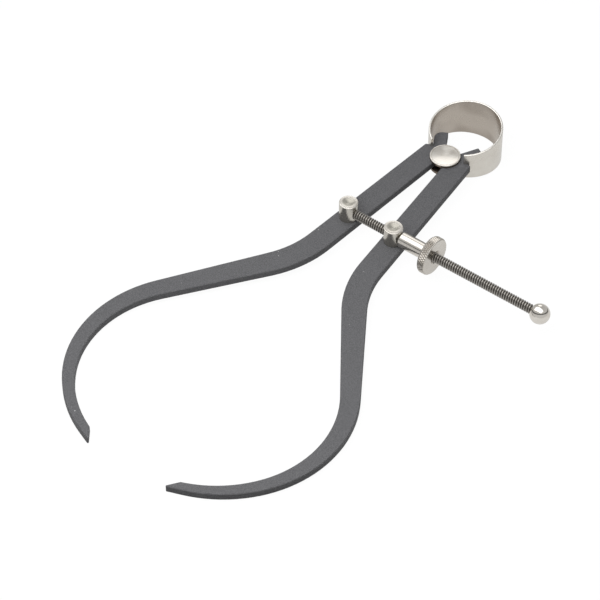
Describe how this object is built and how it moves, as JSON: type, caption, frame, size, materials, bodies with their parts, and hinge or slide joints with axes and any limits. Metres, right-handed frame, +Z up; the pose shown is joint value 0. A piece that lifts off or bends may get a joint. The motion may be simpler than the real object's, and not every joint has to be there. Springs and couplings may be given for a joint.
{
  "type": "outside caliper",
  "caption": "Spring outside caliper: two bowed flat legs on a fulcrum stud, held by a bow spring and set by a threaded screw with a knurled nut.",
  "frame": {"origin": "middle of the whole tool's box, at the height of its lowest point, the bow spring's back edge", "axes": "+X along the adjusting screw from the left leg to the ball, +Y from the measuring tips to the bow spring, +Z up, square to the flat legs, from the legs to the posts' dished tops"},
  "size_m": [0.1434, 0.2316, 0.0219],
  "materials": {
    "leg_coat": "satin dark grey powder coat with a fine grain",
    "spring_nickel": "satin nickel plate on rolled spring steel",
    "turned_nickel": "bright nickel plate on turned steel",
    "screw_steel": "dark oiled steel thread"
  },
  "bodies": {
    "fulcrum": {"fulcrum_stud": "turned_nickel", "bow_spring": "spring_nickel"},
    "left_leg": {"left_leg": "leg_coat"},
    "right_leg": {"right_leg": "leg_coat"},
    "screw": {"left_post": "turned_nickel", "left_post_washer": "turned_nickel", "adjusting_screw": "screw_steel", "ball_end": "turned_nickel"},
    "right_post": {"right_post": "turned_nickel", "right_post_washer": "turned_nickel"},
    "nut": {"adjusting_nut": "turned_nickel"}
  },
  "joints": [
    {"name": "right_leg_pivot", "type": "hinge", "parent": "fulcrum", "child": "right_leg", "pos_m": [-0.01337, 0.08634, 0.00908], "axis": [0, 0, 1], "range_deg": [-5.25, 24.7], "deforming": ["bow_spring"]},
    {"name": "left_leg_pivot", "type": "hinge", "parent": "fulcrum", "child": "left_leg", "pos_m": [-0.01337, 0.08634, 0.00908], "axis": [0, 0, -1], "range_deg": [-5.25, 24.7], "deforming": ["bow_spring"]},
    {"name": "right_post_swivel", "type": "hinge", "parent": "right_leg", "child": "right_post", "pos_m": [-0.00234, 0.03544, 0.00908], "axis": [0, 0, -1], "range_deg": [-5.25, 24.7]},
    {"name": "left_post_swivel", "type": "hinge", "parent": "left_leg", "child": "screw", "pos_m": [-0.0244, 0.03544, 0.00908], "axis": [0, 0, 1], "range_deg": [-5.25, 24.7]},
    {"name": "nut_spin", "type": "hinge", "parent": "right_post", "child": "nut", "pos_m": [0.00966, 0.03544, 0.01399], "axis": [1, 0, 0], "range_deg": [-2976, 14004]}
  ],
  "couplings": [
    {"joint": "right_leg_pivot", "follows": "nut_spin", "ratio": 0.0017637},
    {"joint": "left_leg_pivot", "follows": "nut_spin", "ratio": 0.0017637},
    {"joint": "right_post_swivel", "follows": "nut_spin", "ratio": 0.0017637},
    {"joint": "left_post_swivel", "follows": "nut_spin", "ratio": 0.0017637}
  ]
}
